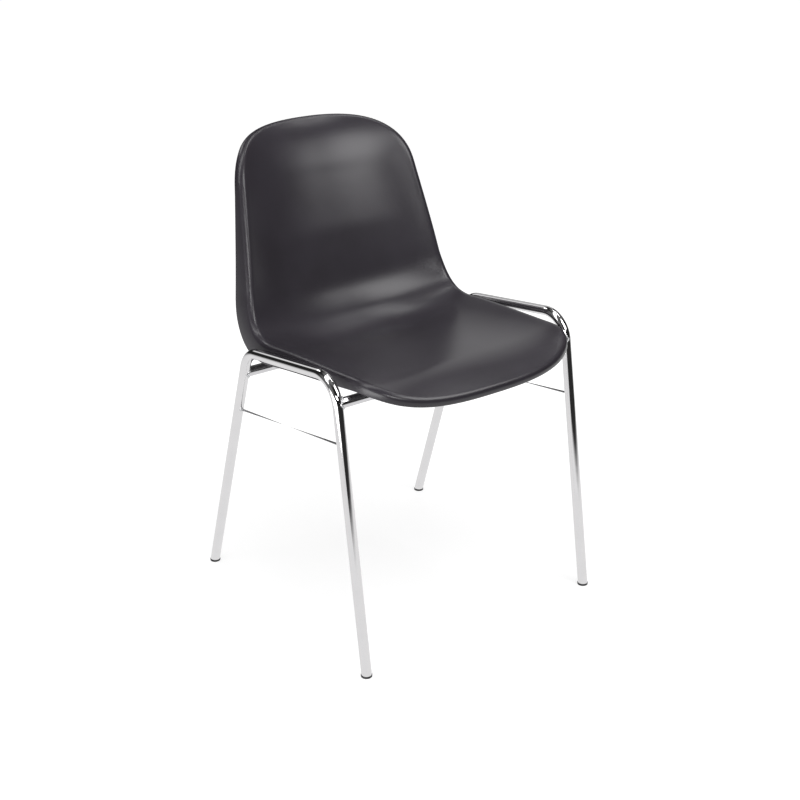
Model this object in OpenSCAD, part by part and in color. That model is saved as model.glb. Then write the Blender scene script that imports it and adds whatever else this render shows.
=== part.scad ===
// Stacking shell chair: a moulded seat and back in one, on two bent side tubes and two cross tubes.
// The chair faces -Y and +Z is up. The origin lies on the floor, under the middle of the chair.

/* [Seat] */
// Height of the highest point of the seat's centre line, near its front edge
seat_height = 494.5; // [440:0.5:540]
// Radius of the seat's rolled-down front
lip_radius = 150; // [110:5:200]
// Slope of the centre line at the front edge, in degrees
lip_angle = 29; // [20:1:40]
// Fall of the seat towards the back, in degrees
seat_pitch = 7.5; // [4:0.5:12]
// Length of the straight part of the seat
seat_length = 234; // [210:1:270]
// Radius of the bend between seat and back
bend_radius = 115; // [95:5:140]

/* [Back] */
// Lean of the back from upright, in degrees
recline = 12; // [6:1:20]
// Length of the straight part of the back
back_length = 174; // [120:1:240]
// Radius at which the top of the back curls rearward
top_radius = 200; // [150:5:300]
// Turn of that curl, in degrees
top_curl = 33; // [15:1:40]

/* [Shell outline] */
// Width over the shell's surface at the front, before the corners round it off
front_width = 401; // [370:1:430]
// Width over the shell's surface at the hips
hip_width = 427; // [400:1:460]
// Width over the shell's surface at the top, before the corners round it off
top_width = 323; // [280:1:390]
// Place of the hips along the surface from the front edge
hip_place = 390; // [340:5:440]
// Length over which the side lines turn at the hips
hip_blend = 30; // [10:5:60]
// Length of the front corners along the surface
front_corner = 101; // [80:1:130]
// Exponent of the front corners, where 2 is an ellipse and more is squarer
front_squareness = 2.7; // [2:0.1:4]
// Length of the top corners along the surface
top_corner = 112; // [80:1:140]
// Exponent of the top corners
top_squareness = 2.3; // [2:0.1:4]

/* [Shell dish] */
// Rise of the sides above the centre line at the front edge
front_rise = 11; // [8:0.5:16]
// Rise of the sides at the hips
hip_rise = 34; // [24:0.5:44]
// Place along the surface where the hip rise is reached
hip_rise_place = 375; // [340:5:410]
// Rise of the sides at the lower back
back_rise = 44.5; // [30:0.5:56]
// Place along the surface where the back rise is reached
back_rise_place = 485; // [450:5:540]
// Rise of the sides at the top edge
top_rise = 27.5; // [15:0.5:40]
// Exponent of the dish across the seat: more keeps the middle flatter
seat_flatness = 5; // [3:0.1:6]
// Exponent of the dish across the back
back_flatness = 2.4; // [2:0.1:4]
// Place along the surface where the flatness starts to change
flatness_start = 60; // [30:5:120]
// Place along the surface where the flatness has changed
flatness_end = 460; // [380:5:520]

/* [Shell edge] */
// Wall thickness of the moulding
shell_wall = 4.5; // [3:0.5:6]
// Outer radius of the rolled rim
rim_radius = 10; // [8:0.5:12]
// Flare of the flange below the rim, in degrees
flange_flare = 10; // [4:1:15]
// Straight height of the flange at the middle of the front
front_flange = 5.5; // [3:0.5:8]
// Straight height of the flange at its deepest, beside the seat bend
deep_flange = 31.5; // [22:0.5:38]
// Straight height of the flange round the top
top_flange = 3; // [2:0.5:8]
// Place along the surface where the flange is deepest
deep_flange_place = 450; // [410:5:480]
// Length of flange of even height below the top edge
top_flange_run = 60; // [30:5:90]

/* [Frame] */
// Outer diameter of the side tubes
tube_d = 18; // [16:0.5:20]
// Wall of the side tubes
tube_wall = 1.5; // [1:0.1:2]
// Radius of the side tubes' bends, on their centre line
tube_bend = 50; // [42:1:58]
// Clear space between the widest part of the shell and a rail
rail_gap = 5.2; // [3:0.1:12]
// Outward lean of a side frame, as the distance from its rail out to its feet
foot_flare = 3; // [0:0.5:16]
// Lean of the front legs, in degrees from upright
front_leg_angle = 8.5; // [4:0.5:14]
// Lean of the rear legs, in degrees from upright
rear_leg_angle = 18.8; // [12:0.1:24]
// Height from a cross tube's axis up to where the leg and rail lines meet
bar_drop = 43; // [38:1:60]
// Outer diameter of the cross tubes
bar_d = 18; // [16:0.5:20]
// Wall of the cross tubes
bar_wall = 1.5; // [1:0.1:2]
// Distance of the front cross tube behind the shell's front
front_bar_setback = 97; // [80:1:115]
// Distance between the two cross tubes
bar_spacing = 287.5; // [270:0.5:300]
// Diameter of the side rods
rod_d = 4; // [3:0.5:6]
// Height of the left rod below its rail, from axis to axis
left_rod_drop = 114; // [90:1:200]
// Height of the right rod below its rail, from axis to axis
right_rod_drop = 148.5; // [90:0.5:200]

/* [Glides] */
// Diameter of a glide's head
glide_d = 19.5; // [18:0.5:24]
// Height of a glide's head
glide_height = 4; // [3:0.5:8]
// Length of a glide's stem inside the tube
glide_stem = 22; // [15:1:35]

/* [Fixings] */
// Distance between the bosses across the shell
boss_spacing = 200; // [160:5:240]
// Diameter of a boss
boss_d = 20; // [16:0.5:24]
// Height from the front cross tube up to the shell's underside, on the centre line
front_boss = 7.5; // [6:0.5:14]
// Height from the rear cross tube up to the shell's underside, on the centre line
rear_boss = 19; // [12:0.5:26]
// Depth by which a boss straddles its cross tube
boss_saddle = 3; // [1:0.5:5]
// Outer diameter of a threaded insert
insert_d = 7; // [6.5:0.5:9]
// Length of a threaded insert
insert_length = 8; // [6:0.5:8.5]
// Diameter of a fixing screw
screw_d = 5; // [4:0.5:5.5]
// Length of screw thread inside the insert
screw_grip = 5; // [4:0.5:6]
// Diameter of a screw head
screw_head_d = 9.5; // [8:0.5:12]
// Height of a screw head
screw_head = 3; // [2.5:0.5:5]
// Width across the flats of the socket in a screw head
socket_width = 3; // [2:0.5:4]
// Depth of the socket in a screw head
socket_depth = 1.6; // [1:0.1:2]
// Diameter of a saddle washer
washer_d = 13; // [12:0.5:15]
// Thickness of a saddle washer under the middle of its cross tube
washer_base = 1.6; // [1:0.1:3]

/* [Hidden] */
side_names = ["left", "right"];
bar_names = ["front", "rear"];

// Clearances: boss or washer to tube, screw to hole, insert to boss, thread to insert, glide to tube
seat_fit = 0.2;
hole_fit = 0.4;
insert_fit = 0.1;
thread_fit = 0.05;
glide_fit = 0.15;
// Least height of the flange's lower edge above a cross tube
flange_gap = 2;
// Distance by which a cross tube stops short of the side tube's axis, so that its saddle has no feather edge
cope_step = 1.5;
// Swell of a side tube's bends over its straight runs, and how far the runs reach into them
bend_step = 0.05;
bend_lap = 1;
// Radius of a cross tube's weld bead, and diameter of the weld round a rod's end
bead_r = 2.2;
rod_weld_d = 8;
// Length of a rod's weld along the rod, and its thickness where it ends
rod_weld_run = 3;
weld_lip = 0.3;
// Clearance of a weld bead round its cross tube
weld_fit = 0.03;
// Free depth of an insert's pocket beyond the insert
pocket_room = 0.7;
// Chamfers on a glide's head, a screw's head and a screw's tip
glide_edge = 0.8;
head_edge = 0.7;
tip_edge = 0.6;
// Overrun of cuts
over = 1;
// Smoothness of round parts
$fn = 48;

// Cells of the shell's grid across and along, steps round its rim, and how far the rows crowd to the ends
across = 20;
along = 52;
rim_steps = 3;
crowding_share = 0.3;
// Softness of the flange's deepest point, as a share of its length
flange_soft_share = 0.1;
// Points round a weld bead and round its section
bead_rings = 24;
bead_sides = 8;
// Halvings when a place on the surface is looked for
halvings = 30;
// Distance at which slopes are measured
slope_step = shell_wall / 10;

// Lengths along the centre line from the front edge to the end of each stretch
lip_end = lip_radius * radians(lip_angle + seat_pitch);
seat_end = lip_end + seat_length;
bend_end = seat_end + bend_radius * radians(seat_pitch + 90 - recline);
back_end = bend_end + back_length;
top_end = back_end + top_radius * radians(top_curl);
top_slope = 90 - recline - top_curl;

// Overhang of the rim beyond the ends of the surface, which sets the shell midway over the origin
front_overhang = rim_radius * (1 - sin(lip_angle));
top_overhang = (rim_radius * cos(flange_flare) + top_flange * sin(flange_flare)) * cos(top_slope)
    + (rim_radius * (1 - sin(flange_flare)) + top_flange * cos(flange_flare)) * sin(top_slope);
shell_depth = stretches(0)[5][0] + front_overhang + top_overhang;
starts = stretches(front_overhang - shell_depth / 2);

function radians(angle) = angle * PI / 180;
function degrees(angle) = angle * 180 / PI;
function smooth(t) = let (c = min(max(t, 0), 1)) c * c * (3 - 2 * c);
function smooth_between(s, low, high) = smooth((s - low) / (high - low));

// A place on the centre line is [y, z, direction]
function along_line(q, d) = [q[0] + d * cos(q[2]), q[1] + d * sin(q[2]), q[2]];
function along_arc(q, radius, d) =
    let (turned = q[2] + degrees(d / radius))
    [q[0] + radius * (sin(turned) - sin(q[2])), q[1] - radius * (cos(turned) - cos(q[2])), turned];

// Where each stretch starts: lip, seat, bend, back, curl, and the end
function stretches(y) =
    let (lip = [y, seat_height - lip_radius * (1 - cos(lip_angle)), lip_angle])
    let (seat = along_arc(lip, -lip_radius, lip_end))
    let (bend = along_line(seat, seat_length))
    let (back = along_arc(bend, bend_radius, bend_end - seat_end))
    let (curl = along_line(back, back_length))
    [lip, seat, bend, back, curl, along_arc(curl, -top_radius, top_end - back_end)];

function centre_line(s) =
    s < lip_end ? along_arc(starts[0], -lip_radius, s)
    : s < seat_end ? along_line(starts[1], s - lip_end)
    : s < bend_end ? along_arc(starts[2], bend_radius, s - seat_end)
    : s < back_end ? along_line(starts[3], s - bend_end)
    : along_arc(starts[4], -top_radius, s - back_end);

// Half width of the surface: two straight lines with a soft turn at the hips
function half_width(s) =
    let (below = (hip_width - front_width) / 2 / hip_place)
    let (above = (top_width - hip_width) / 2 / (top_end - hip_place))
    let (d = s - hip_place)
    hip_width / 2 + (below + above) / 2 * d + (above - below) / 2 * (norm([d, hip_blend]) - hip_blend);

// Rise of the sides above the centre line, and how it spreads across
function side_rise(s) =
    s < hip_rise_place ? front_rise + (hip_rise - front_rise) * smooth_between(s, 0, hip_rise_place)
    : s < back_rise_place
        ? hip_rise + (back_rise - hip_rise) * smooth_between(s, hip_rise_place, back_rise_place)
        : back_rise + (top_rise - back_rise) * smooth_between(s, back_rise_place, top_end);
function flatness(s) =
    seat_flatness + (back_flatness - seat_flatness) * smooth_between(s, flatness_start, flatness_end);
function dish(p) = side_rise(p[1]) * pow(abs(p[0]) / half_width(p[1]), flatness(p[1]));

// Point and normal of the upper surface at p = [x, length along the centre line]
function skin(p) =
    let (q = centre_line(p[1]))
    [p[0], q[0] - dish(p) * sin(q[2]), q[1] + dish(p) * cos(q[2])];
function skin_normal(p) =
    let (a = skin(p + [slope_step, 0]) - skin(p - [slope_step, 0]))
    let (b = skin(p + [0, slope_step]) - skin(p - [0, slope_step]))
    cross(a, b) / norm(cross(a, b));

// Length along the centre line at which the surface has this x and y
function place_at(x, y, low = 0, high = bend_end, left = halvings) =
    let (middle = (low + high) / 2)
    left == 0 ? middle
    : skin([x, middle])[1] < y ? place_at(x, y, middle, high, left - 1)
    : place_at(x, y, low, middle, left - 1);

// Outline of the surface: each corner is a quarter of a superellipse
front_corner_share = pow(0.5, 1 / front_squareness);
top_corner_share = pow(0.5, 1 / top_squareness);
side_start = front_place(front_corner_share);
side_end = top_place(top_corner_share);
function quarter(share, power) = pow(1 - pow(min(abs(share), 1), power), 1 / power);
function front_place(share) = front_corner * (1 - quarter(share, front_squareness));
function top_place(share) = top_end - top_corner * (1 - quarter(share, top_squareness));
function edge_share(s) =
    s < front_corner ? quarter((front_corner - s) / front_corner, front_squareness)
    : s > top_end - top_corner ? quarter((s - top_end + top_corner) / top_corner, top_squareness)
    : 1;
function front_edge(u) =
    let (s = front_place(u * front_corner_share))
    [half_width(s) * u * front_corner_share, s];
function top_edge(u) =
    let (s = top_place(u * top_corner_share))
    [half_width(s) * u * top_corner_share, s];
function side_edge(v) =
    let (s = side_start + (side_end - side_start) * (v - crowding_share * sin(360 * v) / (2 * PI)))
    [half_width(s) * edge_share(s), s];

// Grid over the outline, blended between its four edges: u runs from -1 to 1 across, v from 0 to 1 along
function grid_point(u, v) =
    let (ends = (1 - v) * front_edge(u) + v * top_edge(u))
    let (corners = (1 - v) * front_edge(1) + v * top_edge(1))
    let (aside = side_edge(v) - corners)
    [ends[0] + u * aside[0], ends[1] + aside[1]];
grid = [for (j = [0 : along]) [for (i = [0 : across]) grid_point(2 * i / across - 1, j / along)]];

// The grid's edge as one loop of [i, j], from the front left corner to the right and round
edge_loop = concat(
    [for (i = [0 : across - 1]) [i, 0]],
    [for (j = [0 : along - 1]) [across, j]],
    [for (i = [across : -1 : 1]) [i, along]],
    [for (j = [along : -1 : 1]) [0, j]]);
edge_count = len(edge_loop);
function edge_point(k) = let (c = edge_loop[(k + edge_count) % edge_count]) grid[c[1]][c[0]];
function edge_index(i, j) =
    j == 0 ? i
    : i == across ? across + j
    : j == along ? 2 * across + along - i
    : 2 * (across + along) - j;
function on_edge(i, j) = i == 0 || i == across || j == 0 || j == along;

// At each edge point: the surface point, the way out, the centre line's normal, and the slope outward
rim_frames = [for (k = [0 : edge_count - 1])
    let (p = edge_point(k))
    let (t = edge_point(k + 1) - edge_point(k - 1))
    let (out = [t[1], -t[0]] / norm(t))
    let (lean = centre_line(p[1])[2])
    let (slope = (dish(p + slope_step * out) - dish(p - slope_step * out)) / (2 * slope_step))
    [skin(p), [out[0], out[1] * cos(lean), out[1] * sin(lean)], [0, -sin(lean), cos(lean)], atan(slope)]];

// Height of the straight flange: deepest beside the bend, falling off evenly to both ends
function flange(s) =
    let (below = s < deep_flange_place)
    let (ends = below ? front_flange : top_flange)
    let (reach = below ? deep_flange_place : top_end - top_flange_run - deep_flange_place)
    let (t = norm([(s - deep_flange_place) / reach, flange_soft_share]) - flange_soft_share)
    ends + (deep_flange - ends) * max(0, 1 - t / (norm([1, flange_soft_share]) - flange_soft_share));

// Point of the rim: depth into the wall, share of the roll, and height down the flange
function rim_point(frame, depth, share, height) =
    let (slope = frame[3])
    let (turned = slope + (flange_flare - 90 - slope) * share)
    let (radius = rim_radius - depth)
    let (aside = rim_radius * sin(slope) - radius * sin(turned) + height * sin(flange_flare))
    let (rise = radius * cos(turned) - rim_radius * cos(slope) - height * cos(flange_flare))
    frame[0] + aside * frame[1] + rise * frame[2];
function rim_row(depth, share) = [for (f = rim_frames) rim_point(f, depth, share, 0)];
function flange_row(depth) =
    [for (k = [0 : edge_count - 1]) rim_point(rim_frames[k], depth, 1, flange(edge_point(k)[1]))];

// Shell points: the upper grid, the lower grid, then the rim's rows from the upper edge to the lower
upper_points = [for (row = grid) for (p = row) skin(p)];
lower_points = [for (j = [0 : along]) for (i = [0 : across])
    on_edge(i, j)
        ? rim_point(rim_frames[edge_index(i, j)], shell_wall, 0, 0)
        : skin(grid[j][i]) - shell_wall * skin_normal(grid[j][i])];
flange_edge = flange_row(0);
rim_rows = concat(
    [for (n = [1 : rim_steps]) rim_row(0, n / rim_steps)],
    [flange_edge, flange_row(shell_wall)],
    [for (n = [rim_steps : -1 : 1]) rim_row(shell_wall, n / rim_steps)]);
shell_points = concat(upper_points, lower_points, [for (row = rim_rows) for (p = row) p]);

function grid_index(i, j) = j * (across + 1) + i;
function rim_index(row, k) =
    let (turn = k % edge_count)
    let (on_grid = grid_index(edge_loop[turn][0], edge_loop[turn][1]))
    row == 0 ? on_grid
    : row > len(rim_rows) ? len(upper_points) + on_grid
    : 2 * len(upper_points) + (row - 1) * edge_count + turn;
function two_triangles(a, b, c, d) = [[a, b, c], [a, c, d]];
upper_faces = [for (j = [0 : along - 1]) for (i = [0 : across - 1])
    let (here = grid_index(i, j))
    let (next = grid_index(i, j + 1))
    each two_triangles(here, next, next + 1, here + 1)];
lower_faces = [for (f = upper_faces) [for (n = [2 : -1 : 0]) f[n] + len(upper_points)]];
rim_faces = [for (row = [0 : len(rim_rows)]) for (k = [0 : edge_count - 1])
    each two_triangles(
        rim_index(row, k), rim_index(row, k + 1), rim_index(row + 1, k + 1), rim_index(row + 1, k))];
shell_faces = concat(upper_faces, lower_faces, rim_faces);

// Cross tubes: each is [name, y, z, lean of its legs], hung below the underside and clear of the flange
function underside(y) =
    let (s = place_at(0, y))
    skin([0, s])[2] - shell_wall / cos(centre_line(s)[2]);
function flange_low(y) = min([for (p = flange_edge) if (abs(p[1] - y) < bar_d) p[2]]);
function bar_height(y, boss) = min(underside(y) - boss, flange_low(y) - flange_gap) - bar_d / 2;
front_bar_y = front_bar_setback - shell_depth / 2;
rear_bar_y = front_bar_y + bar_spacing;
bars = [
    [bar_names[0], front_bar_y, bar_height(front_bar_y, front_boss), front_leg_angle],
    [bar_names[1], rear_bar_y, bar_height(rear_bar_y, rear_boss), -rear_leg_angle]];
sides = [[side_names[0], -1, left_rod_drop], [side_names[1], 1, right_rod_drop]];

// A side frame lies in a plane that leans in from its feet to its rail
shell_reach = max([for (p = flange_edge) p[0]]);
foot_x = shell_reach + rail_gap + tube_d / 2 + foot_flare;
side_lean = atan(foot_flare / (bars[0][2] + bar_drop));
// Places in that plane are [y, height along the plane]
function leg_place(bar, z) = [bar[1] + (z - bar[2]) * tan(bar[3]), z / cos(side_lean)];
feet = [for (b = bars) leg_place(b, 0)];
corners = [for (b = bars) leg_place(b, b[2] + bar_drop)];
function leg_x(z) = foot_x - z * tan(side_lean);
function direction(a, b) = (b - a) / norm(b - a);
function heading(a, b) = atan2(b[1] - a[1], b[0] - a[0]);
rail_heading = heading(corners[0], corners[1]);
leg_headings = [heading(feet[0], corners[0]), heading(corners[1], feet[1])];
turns = [leg_headings[0] - rail_heading, rail_heading - leg_headings[1]];
// Length that each bend takes off the leg and off the rail
bend_cuts = [for (t = turns) tube_bend * tan(t / 2)];
rail_ends = [
    corners[0] + bend_cuts[0] * direction(corners[0], corners[1]),
    corners[1] + bend_cuts[1] * direction(corners[1], corners[0])];
leg_ends = [for (n = [0, 1]) corners[n] + bend_cuts[n] * direction(corners[n], feet[n])];
bend_centres = [for (p = rail_ends) p + tube_bend * [sin(rail_heading), -cos(rail_heading)]];

// Where a rod, parallel to the rail, meets a leg's axis, and where it leaves the leg's surface
function rod_end(n, drop) =
    let (rail = corners[1] - corners[0])
    let (leg = corners[n] - feet[n])
    feet[n] + leg * cross(rail, corners[0] - [0, drop] - feet[n]) / cross(rail, leg);
function rod_entry(n, drop) =
    let (way = direction(corners[n], corners[1 - n]))
    rod_end(n, drop) + way * tube_d / 2 / abs(cross(way, direction(feet[n], corners[n])));

// Screws stand on both cross tubes, either side of the middle
screw_places = [for (b = bars) for (x = [-1, 1] * boss_spacing / 2) [x, b[1], b[2]]];
bar_top = bar_d / 2 + seat_fit;
washer_low = -bar_top - washer_base;
washer_high = -sqrt(pow(bar_top, 2) - pow(washer_d / 2, 2));

module in_side_plane() {
    translate([foot_x, 0, 0])
        rotate([0, -side_lean, 0])
            rotate([90, 0, 90])
                children();
}

// Straight run from a to b in the side plane
module run(a, b, d) {
    translate([a[0], a[1], 0])
        rotate([0, 0, heading(a, b)])
            rotate([0, 90, 0])
                cylinder(d = d, h = norm(b - a));
}

// Bend at the top of a leg, a hair thicker than the runs that reach into it
module bend(n, d) {
    translate([bend_centres[n][0], bend_centres[n][1], 0])
        rotate([0, 0, n == 0 ? rail_heading + 90 : leg_headings[1] + 90])
            rotate_extrude(angle = turns[n])
                translate([tube_bend, 0])
                    circle(d = d + 2 * bend_step);
}

// One leg as a solid of diameter d, run on past its foot
module leg(n, d, extra = 0) {
    way = direction(feet[n], leg_ends[n]);
    run(feet[n] - extra * way, leg_ends[n] + bend_lap * way, d);
}

module rail(d) {
    way = direction(rail_ends[0], rail_ends[1]);
    run(rail_ends[0] - bend_lap * way, rail_ends[1] + bend_lap * way, d);
}

// The whole bent side tube as a solid
module side_solid(d, extra) {
    in_side_plane() {
        for (n = [0, 1]) {
            leg(n, d, extra);
            bend(n, d);
        }
        rail(d);
    }
}

// Everything of a side frame below height z
module below(z) {
    translate([foot_x - tube_d * 2, -shell_depth, -tube_d * 4])
        cube([tube_d * 4, shell_depth * 2, tube_d * 4 + z]);
}

module on_side(side) {
    if (side < 0)
        mirror([1, 0, 0])
            children();
    else
        children();
}

module side_frame(side) {
    color("#c6c8cb")
        on_side(side)
            difference() {
                side_solid(tube_d, tube_d);
                side_solid(tube_d - 2 * tube_wall, tube_d + over);
                below(glide_height);
            }
}

module bar_solid(bar, d, length) {
    translate([-length / 2, bar[1], bar[2]])
        rotate([0, 90, 0])
            cylinder(d = d, h = length);
}

module crossbar(n) {
    bar = bars[n];
    length = 2 * (leg_x(bar[2]) - cope_step);
    color("#bcbec2")
        difference() {
            bar_solid(bar, bar_d, length);
            bar_solid(bar, bar_d - 2 * bar_wall, length + over);
            for (side = [-1, 1])
                on_side(side)
                    in_side_plane() {
                        leg(n, tube_d);
                        bend(n, tube_d);
                    }
            for (x = [-1, 1] * boss_spacing / 2)
                translate([x, bar[1], bar[2] - bar_d / 2 - over])
                    cylinder(d = screw_d + 2 * hole_fit, h = bar_d + 2 * over);
        }
}

module side_rod(side, drop) {
    color("#b4b6ba")
        on_side(side)
            in_side_plane()
                difference() {
                    run(rod_end(0, drop), rod_end(1, drop), rod_d);
                    leg(0, tube_d);
                    leg(1, tube_d);
                }
}

// Shift of a side tube's axis towards its rail, at a distance above a cross tube where it already bends
function axis_shift(n, above) =
    let (into_bend = max(0, above - bar_drop / cos(bars[n][3]) + bend_cuts[n]))
    (n == 0 ? 1 : -1) * (tube_bend - sqrt(pow(tube_bend, 2) - pow(into_bend, 2)));

// Closed bead along the line where a cross tube meets the side tube on the right
function bead_points(n) = [for (a = [0 : bead_rings - 1]) for (b = [0 : bead_sides - 1])
    let (round_bar = 360 * a / bead_rings)
    let (round_bead = 360 * b / bead_sides)
    let (shift = axis_shift(n, bar_d / 2 * sin(round_bar + bars[n][3])))
    let (aside = bar_d / 2 * cos(round_bar + bars[n][3]) - shift)
    let (reach = bar_d / 2 + bead_r * cos(round_bead))
    [leg_x(bars[n][2]) - sqrt(max(0, pow(tube_d / 2, 2) - pow(aside, 2))) + bead_r * sin(round_bead),
     bars[n][1] + reach * cos(round_bar),
     bars[n][2] + reach * sin(round_bar)]];
function bead_index(a, b) = (a % bead_rings) * bead_sides + b % bead_sides;
bead_faces = [for (a = [0 : bead_rings - 1]) for (b = [0 : bead_sides - 1])
    each two_triangles(
        bead_index(a, b), bead_index(a, b + 1), bead_index(a + 1, b + 1), bead_index(a + 1, b))];

module crossbar_welds(n) {
    bar = bars[n];
    color("#a9abae")
        for (side = [-1, 1])
            on_side(side)
                difference() {
                    polyhedron(points = bead_points(n), faces = bead_faces, convexity = 4);
                    in_side_plane() {
                        leg(n, tube_d);
                        bend(n, tube_d);
                    }
                    bar_solid(bar, bar_d + 2 * weld_fit, 2 * leg_x(bar[2]));
                }
}

module rod_welds(side, drop) {
    length = rod_weld_d / 2 + rod_weld_run;
    color("#a9abae")
        on_side(side)
            in_side_plane()
                for (n = [0, 1])
                    difference() {
                        way = direction(rod_end(n, drop), rod_end(1 - n, drop));
                        root = rod_entry(n, drop) - rod_weld_d / 2 * way;
                        translate([root[0], root[1], 0])
                            rotate([0, 0, atan2(way[1], way[0])])
                                rotate([0, 90, 0])
                                    cylinder(d1 = rod_weld_d, d2 = rod_d + 2 * weld_lip, h = length);
                        leg(n, tube_d);
                        run(rod_end(0, drop), rod_end(1, drop), rod_d);
                    }
}

// A glide has a flat head on the floor and a stem up the leg's bore
module glide(side, n) {
    bar = bars[n];
    head_y = leg_place(bar, glide_height)[0];
    stem_top = leg_place(bar, glide_height + glide_stem);
    color("#1c1c1e")
        on_side(side) {
            translate([leg_x(glide_height), head_y, 0]) {
                cylinder(d1 = glide_d - 2 * glide_edge, d2 = glide_d, h = glide_edge);
                translate([0, 0, glide_edge])
                    cylinder(d = glide_d, h = glide_height - glide_edge);
            }
            difference() {
                in_side_plane()
                    run(leg_place(bar, -tube_d), stem_top, tube_d - 2 * tube_wall - 2 * glide_fit);
                below(glide_height / 2);
            }
        }
}

// A boss stands on its cross tube and ends halfway into the shell's wall, cut to the wall's slope
module boss(place) {
    at = [place[0], place_at(place[0], place[1])];
    up = skin_normal(at);
    low = place[2] + bar_d / 2 - boss_saddle;
    height = skin(at)[2] - low + boss_d;
    difference() {
        translate([place[0], place[1], low])
            cylinder(d = boss_d, h = height);
        translate(skin(at) - shell_wall / 2 * up)
            rotate([0, acos(up[2]), atan2(up[1], up[0])])
                translate([-boss_d * 2, -boss_d * 2, 0])
                    cube(boss_d * 4);
    }
}

module shell() {
    color("#433f45")
        difference() {
            union() {
                polyhedron(points = shell_points, faces = shell_faces, convexity = 8);
                for (p = screw_places)
                    boss(p);
            }
            for (b = bars)
                bar_solid(b, 2 * bar_top, boss_spacing + 2 * boss_d);
            for (p = screw_places)
                translate(p)
                    cylinder(d = insert_d + 2 * insert_fit, h = bar_top + insert_length + pocket_room);
        }
}

module threaded_inserts() {
    color("#b08d4f")
        for (p = screw_places)
            translate(p + [0, 0, bar_top])
                difference() {
                    cylinder(d = insert_d, h = insert_length);
                    translate([0, 0, -over])
                        cylinder(d = screw_d + 2 * thread_fit, h = insert_length + 2 * over);
                }
}

module fixing_screws() {
    length = bar_top + screw_grip - washer_low;
    color("#8f9296")
        for (p = screw_places)
            translate(p + [0, 0, washer_low]) {
                cylinder(d = screw_d, h = length - tip_edge);
                translate([0, 0, length - tip_edge])
                    cylinder(d1 = screw_d, d2 = screw_d - 2 * tip_edge, h = tip_edge);
                translate([0, 0, -screw_head])
                    difference() {
                        union() {
                            cylinder(d1 = screw_head_d - 2 * head_edge, d2 = screw_head_d, h = head_edge);
                            translate([0, 0, head_edge])
                                cylinder(d = screw_head_d, h = screw_head - head_edge);
                        }
                        translate([0, 0, -over])
                            cylinder(d = socket_width / cos(30), h = socket_depth + over, $fn = 6);
                    }
            }
}

// A saddle washer is flat below and hollowed to the cross tube above
module screw_washers() {
    color("#2a2a2c")
        difference() {
            for (p = screw_places)
                translate(p + [0, 0, washer_low])
                    cylinder(d = washer_d, h = washer_high - washer_low);
            for (b = bars)
                bar_solid(b, 2 * bar_top, boss_spacing + 2 * washer_d);
            for (p = screw_places)
                translate(p + [0, 0, washer_low - over])
                    cylinder(d = screw_d + 2 * hole_fit, h = bar_top);
        }
}

shell();
for (s = sides) {
    side_frame(s[1]);
    side_rod(s[1], s[2]);
    rod_welds(s[1], s[2]);
    for (n = [0, 1])
        glide(s[1], n);
}
for (n = [0, 1]) {
    crossbar(n);
    crossbar_welds(n);
}
threaded_inserts();
fixing_screws();
screw_washers();
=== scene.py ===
# %% [markdown]
# # A stacking shell chair, dressed for its picture
# A hall or choir chair like this one is two things: a thin moulded shell that is seat and back in
# one, and a chromed frame of bent and welded steel tube that carries it.
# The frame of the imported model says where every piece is. This script makes the pieces again, finer
# and with their finishes, in metres and in the same place.

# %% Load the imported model
import math

import bmesh
import bpy
import numpy as np
from mathutils import Matrix, Vector


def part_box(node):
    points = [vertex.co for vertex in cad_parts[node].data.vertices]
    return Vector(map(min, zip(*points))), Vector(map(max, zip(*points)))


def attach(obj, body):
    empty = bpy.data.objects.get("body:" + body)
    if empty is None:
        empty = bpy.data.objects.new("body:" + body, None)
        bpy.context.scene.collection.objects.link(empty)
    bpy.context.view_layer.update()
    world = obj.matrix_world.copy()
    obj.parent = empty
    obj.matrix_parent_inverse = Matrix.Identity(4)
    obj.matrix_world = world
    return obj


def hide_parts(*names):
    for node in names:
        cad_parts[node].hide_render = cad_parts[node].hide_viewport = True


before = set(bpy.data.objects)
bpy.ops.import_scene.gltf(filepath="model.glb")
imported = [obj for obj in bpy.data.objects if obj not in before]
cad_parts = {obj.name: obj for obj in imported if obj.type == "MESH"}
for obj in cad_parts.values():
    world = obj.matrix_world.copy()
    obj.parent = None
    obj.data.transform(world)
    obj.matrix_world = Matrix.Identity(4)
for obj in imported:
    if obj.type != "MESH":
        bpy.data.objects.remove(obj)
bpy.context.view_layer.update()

print("nodes", sorted(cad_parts))

# %% [markdown]
# ## The viewpoint
# The picture was taken from the chair's front left, at about chest height, with a lens a bit longer
# than normal. The three angles and the place below were worked out from the tubes' lines.
# A camera looks down its own -Z axis, so its matrix is built from the right, up and back directions.
# Directions are given, here and later, as azimuth, in degrees from +Y behind the chair towards +X on
# its right, and as elevation, in degrees above level.

# %% Camera
def way_to(azimuth, elevation):
    """Unit vector in the direction with this azimuth and elevation."""
    azimuth = math.radians(azimuth)
    elevation = math.radians(elevation)
    level = math.cos(elevation)
    return Vector((math.sin(azimuth) * level, math.cos(azimuth) * level, math.sin(elevation)))


camera_place = Vector((-1.4008, -1.8838, 1.3435))
camera_roll = math.radians(-0.39)
forward = way_to(azimuth=36.93, elevation=-22.85)
level_right = forward.cross(Vector((0, 0, 1))).normalized()
level_up = level_right.cross(forward)
right = math.cos(camera_roll) * level_right + math.sin(camera_roll) * level_up
up = math.cos(camera_roll) * level_up - math.sin(camera_roll) * level_right

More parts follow.
